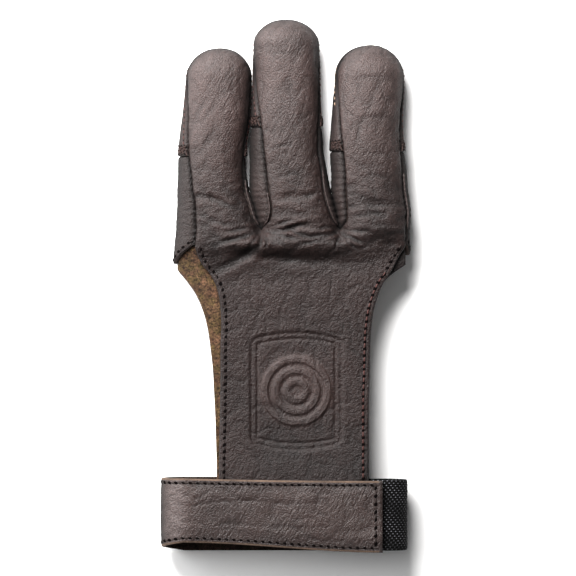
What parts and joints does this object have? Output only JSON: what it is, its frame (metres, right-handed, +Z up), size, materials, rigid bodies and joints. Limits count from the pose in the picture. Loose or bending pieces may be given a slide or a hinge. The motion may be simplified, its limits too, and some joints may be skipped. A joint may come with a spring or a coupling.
{
  "type": "archery glove",
  "caption": "Three-finger archery glove in brown leather with reinforced tips, a long back panel lined with suede, and a leather and elastic wrist strap.",
  "frame": {"origin": "middle of the glove's underside, on the surface that it lies on", "axes": "+Z up from the lying palm to the back of the hand, +Y to the fingertips, +X to the ring finger"},
  "size_m": [0.0902, 0.192, 0.0164],
  "materials": {
    "leather": "satin",
    "side_leather": "satin",
    "tip_leather": "satin",
    "suede": "matte",
    "strap_leather": "satin",
    "elastic": "matte",
    "thread": "matte"
  },
  "bodies": {
    "root": {"back_panel": "leather", "palm_panel": "side_leather", "index_tip_pad": "tip_leather", "middle_tip_pad": "tip_leather", "ring_tip_pad": "tip_leather", "index_side_gusset": "side_leather", "index_middle_fourchette": "side_leather", "middle_ring_fourchette": "side_leather", "ring_side_gusset": "side_leather", "suede_lining": "suede", "wrist_strap": "strap_leather", "elastic_band": "elastic"}
  },
  "joints": []
}
